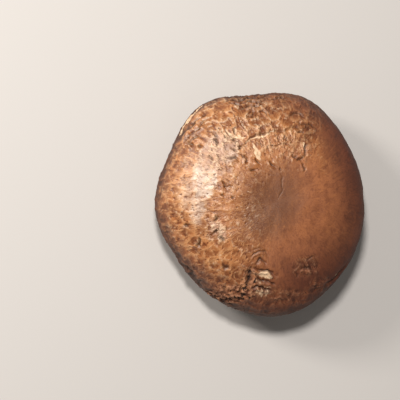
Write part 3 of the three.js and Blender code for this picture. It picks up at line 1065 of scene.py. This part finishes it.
def stem_blank():
    """The stem turned from its profile, before its side has any relief."""
    corners = np.asarray(STEM_PROFILE, dtype=float)
    run = np.concatenate([[0], np.cumsum(np.hypot(*np.diff(corners, axis=0).T))])
    stops = np.unique(np.concatenate([np.arange(0, run[-1], STEM_STEP), run]))
    radii, heights = (np.interp(stops, run, values) for values in corners.T)
    counts = [1 if radius == 0 else STEM_SIDES for radius in radii]
    angles = [np.arange(count) / count * 2 * np.pi for count in counts]
    points = np.concatenate([on_stem(*ring) for ring in zip(radii, angles, heights)])
    side = fade(points[:, 2], *SIDE_FOOT) * fade(points[:, 2], *SIDE_TOP)
    return piece("mushroom_stem", points, faces_between(counts), {"side": side})


def stem_pattern(wire, place):
    """Long fibres, shallow lumps and scurf of a stem; the place is in millimetres."""
    x, y, z = wire.axes(place)
    tall = wire.place(x, y, wire.math("MULTIPLY", z, STEM_FIBRE_LENGTH))
    tall = wire.vector("ADD", tall, wire.stretch(wire.wander(place, STEM_WANDER_SIZE), STEM_WANDER))
    return {
        "fibre": wire.noise(tall, STEM_FIBRE_SIZE, 4, 0.62),
        "lump": wire.noise(place, STEM_LUMP_SIZE),
        "scurf": wire.noise(wire.vector("MULTIPLY", place, (1.0, 1.0, 0.6)), SCURF_SIZE, *FINE),
    }


def stem_tree(material):
    """Moves the stem's side in and out by its fibres and lumps."""
    wire, given = new_tree("stem_relief", STEM_RELIEF)
    place = wire.stretch(wire.add("GeometryNodeInputPosition").outputs[0], 1 / MM)
    parts = stem_pattern(wire, place)
    height = wire.sum_of(
        wire.all_of(wire.swing(parts["fibre"]), given["fibre"]),
        wire.all_of(wire.swing(parts["lump"]), given["lump"]),
        wire.all_of(wire.fade(parts["scurf"], SCURF_START, 0.72), given["scurf"]),
    )
    return raised(wire, given["Geometry"], wire.all_of(height, wire.stored("side")), material)


def stem_flesh():
    """Cream flesh with tan fibres, browner near the foot, and a cut face with a darker rim and middle."""
    material, wire = plain_material("stem_flesh")
    place = wire.stretch(wire.add("ShaderNodeTexCoord").outputs["Object"], 1 / MM)
    parts = stem_pattern(wire, place)
    x, y, z = wire.axes(place)
    blotch = wire.noise(place, STEM_BLOTCH_SIZE, *ROUGH)
    fine = wire.noise(place, STEM_GRAIN_SIZE, *FINE)
    out = wire.math("SQRT", wire.math("ADD", wire.math("POWER", x, 2.0), wire.math("POWER", y, 2.0)))
    ring = wire.math("ADD", out, wire.swing(blotch, CUT_RAGGEDNESS))
    cut = wire.painted(
        CUT_CREAM,
        (wire.fade(blotch, 0.4, 0.65), CUT_TAN),
        (wire.fade(ring, 5.0, 3.0, top=0.6), CUT_MIDDLE),
        (wire.fade(ring, 10.5, 12.0, top=0.8), CUT_RIM),
    )
    colour = wire.painted(
        FIBRE_TAN,
        (wire.fade(parts["fibre"], 0.38, 0.62), FIBRE_CREAM),
        (wire.fade(blotch, 0.45, 0.7, top=0.55), STEM_BLOTCH),
        (wire.fade(z, 7.0, 0.0, top=0.45), STEM_FOOT),
        (wire.fade(parts["scurf"], SCURF_START, 0.7, top=0.7), SCURF),
        (wire.fade(z, 0.35, 0.1), cut),
    )
    height = wire.sum_of(parts["fibre"], wire.all_of(fine, 0.4))
    shaded(wire, colour, STEM_ROUGHNESS, height, STEM_BUMP, STEM_GLOW)
    return material


stem_relief = stem_tree(stem_flesh())
stem = grown(stem_blank(), stem_relief, STEM_RELIEF)
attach(stem, "root")
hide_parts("stem")

# The veil ring
# What is left on the stem of the skin that joined it to the cap's edge before the cap opened.
# It is a thin cottony skirt, torn along its lower edge and grown fast to the stem along its upper one.
RING_TOP = 19.2
RING_DROP = 2.6
RING_REACH = 14.0
RING_ROOT = STEM_WAIST_RADIUS - 0.2
RING_THICKNESS = 0.7
RING_THINNING = 0.7  # share of its thickness that it loses down to the torn edge
RING_SIDES = 320
RING_ROWS = 12
# Waves round the ring, each a count, a size and a shift: of its torn edge in millimetres, and of its reach
TORN_WAVES = (
    (3, 0.35, 0.4), (5, 0.3, 2.1), (11, 0.25, 0.9), (17, 0.22, 4.0), (29, 0.18, 1.3), (43, 0.14, 2.6),
)
FRILL_WAVES = ((7, 0.06, 1.0), (13, 0.042, 0.3))
VEIL_RELIEF = {"fibre": 0.3, "lump": 0.5, "scurf": 0.2}


def veil_blank():
    """The skirt as a closed band: its outer face down to the torn edge, and its inner face back up."""
    angle = np.arange(RING_SIDES) / RING_SIDES * 2 * np.pi
    ragged, frill = (
        sum(size * np.sin(count * angle + shift) for count, size, shift in rows)
        for rows in (TORN_WAVES, FRILL_WAVES)
    )
    down = np.linspace(0, 1, RING_ROWS)
    rings = []
    for t, side in [(t, 0.5) for t in down] + [(t, -0.5) for t in down[::-1]]:
        off = side * RING_THICKNESS * (1 - RING_THINNING * t)
        radius = RING_ROOT + (RING_REACH - RING_ROOT) * t**0.75 * (1 + frill) + off
        rings.append(on_stem(radius, angle, RING_TOP - (RING_DROP + ragged) * t**1.6 + off))
    faces = []
    for row in range(len(rings)):
        after = (row + 1) % len(rings)
        faces += stitched((row * RING_SIDES, RING_SIDES), (after * RING_SIDES, RING_SIDES))
    points = np.concatenate(rings)
    return piece("veil_ring", points, faces, {"side": np.ones(len(points))})


veil = grown(veil_blank(), stem_relief, VEIL_RELIEF)
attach(veil, "root")

# The stage
# A pale floor under a key light and a sheen light, both soft and from the upper left, and the camera.
# The mushroom leans in the photograph and stands level here, so the camera looks down from the side.
FLOOR_SIZE = 3.0  # metres, as are the places and sizes of the lights
FLOOR_COLOUR = (0.72, 0.7, 0.68, 1)
FLOOR_ROUGHNESS = 0.8
LIGHTS = (  # name, place, size, power, colour
    ("key", (-0.82, 0.40, 0.53), 0.24, 5.3, (1.0, 0.94, 0.87)),
    ("sheen", (-0.34, 0.36, 0.98), 0.16, 8.5, (1.0, 0.95, 0.90)),
)
STUDIO_COLOUR = (1.0, 0.94, 0.88, 1)
STUDIO_STRENGTH = 0.14
LEAN = math.radians(17)
PHOTO_SIZE = 400
PHOTO_SCALE = 0.495 * MM  # metres of the mushroom to one pixel of the photograph
CAP_MIDDLE = (262.2, 201.7)  # the middle of the cap's outline in the photograph, in pixels
CAMERA_AWAY = 1.2
SENSOR = 36.0


def camera():
    data = bpy.data.cameras.new("camera")
    made = bpy.data.objects.new("camera", data)
    bpy.context.scene.collection.objects.link(made)
    bpy.context.scene.camera = made
    right = np.array([math.cos(LEAN), 0, math.sin(LEAN)])
    up = np.array([0.0, 1.0, 0.0])
    back = np.array([-math.sin(LEAN), 0, math.cos(LEAN)])
    middle = np.array([0, 0, CAP_WIDEST * MM])
    middle = middle + right * (PHOTO_SIZE / 2 - CAP_MIDDLE[0]) * PHOTO_SCALE
    middle = middle - up * (PHOTO_SIZE / 2 - CAP_MIDDLE[1]) * PHOTO_SCALE
    place = middle + back * CAMERA_AWAY
    rows = [(right[i], up[i], back[i], place[i]) for i in range(3)]
    made.matrix_world = Matrix((*rows, (0, 0, 0, 1)))
    data.sensor_width = SENSOR
    data.lens = SENSOR * CAMERA_AWAY / (PHOTO_SIZE * PHOTO_SCALE)


def soft_light(name, place, size, power, colour):
    """A round light that is aimed at the origin."""
    data = bpy.data.lights.new(name, "AREA")
    data.shape = "DISK"
    data.size = size
    data.energy = power
    data.color = colour
    made = bpy.data.objects.new(name, data)
    bpy.context.scene.collection.objects.link(made)
    made.location = place
    x, y, z = place
    tilt = math.acos(z / math.hypot(x, y, z))
    made.rotation_euler = (tilt, 0, math.atan2(-y, -x) - math.pi / 2)


def floor():
    material, wire = plain_material("pale_floor")
    look = {"Base Color": FLOOR_COLOUR, "Roughness": FLOOR_ROUGHNESS}
    shader = wire.add("ShaderNodeBsdfPrincipled", look)
    wire.add("ShaderNodeOutputMaterial", {0: shader.outputs[0]})
    half = FLOOR_SIZE / 2 / MM
    corners = [(-half, -half, 0), (half, -half, 0), (half, half, 0), (-half, half, 0)]
    made = piece("floor", corners, [(0, 1, 2, 3)])
    made.data.materials.append(material)


camera()
floor()
for light in LIGHTS:
    soft_light(*light)
world = bpy.data.worlds.new("studio")
bpy.context.scene.world = world
world.use_nodes = True
background = world.node_tree.nodes["Background"]
background.inputs["Color"].default_value = STUDIO_COLOUR
background.inputs["Strength"].default_value = STUDIO_STRENGTH
bpy.context.scene.view_settings.view_transform = "Standard"
